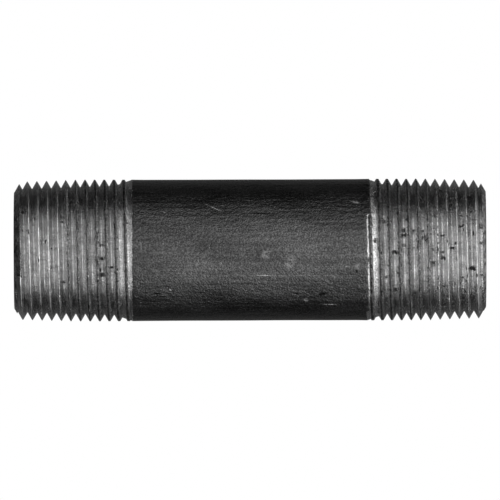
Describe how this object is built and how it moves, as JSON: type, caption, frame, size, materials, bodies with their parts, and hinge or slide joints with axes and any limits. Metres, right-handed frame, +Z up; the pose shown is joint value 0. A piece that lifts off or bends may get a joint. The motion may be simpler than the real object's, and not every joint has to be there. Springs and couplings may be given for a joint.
{
  "type": "pipe nipple",
  "caption": "Straight steel pipe nipple with a right-hand taper pipe thread at each end and a plain black shank between them; joins two female-threaded fittings.",
  "frame": {"origin": "on the pipe's axis, halfway between the two end faces", "axes": "+X along the pipe's axis towards the right end, +Z up across the pipe, +Y to the back"},
  "size_m": [0.0888, 0.0266, 0.0266],
  "materials": {
    "black_steel": "dark lacquered mill scale on the shank, bare machined steel on the threads"
  },
  "bodies": {
    "root": {"pipe_nipple": "black_steel"}
  },
  "joints": []
}
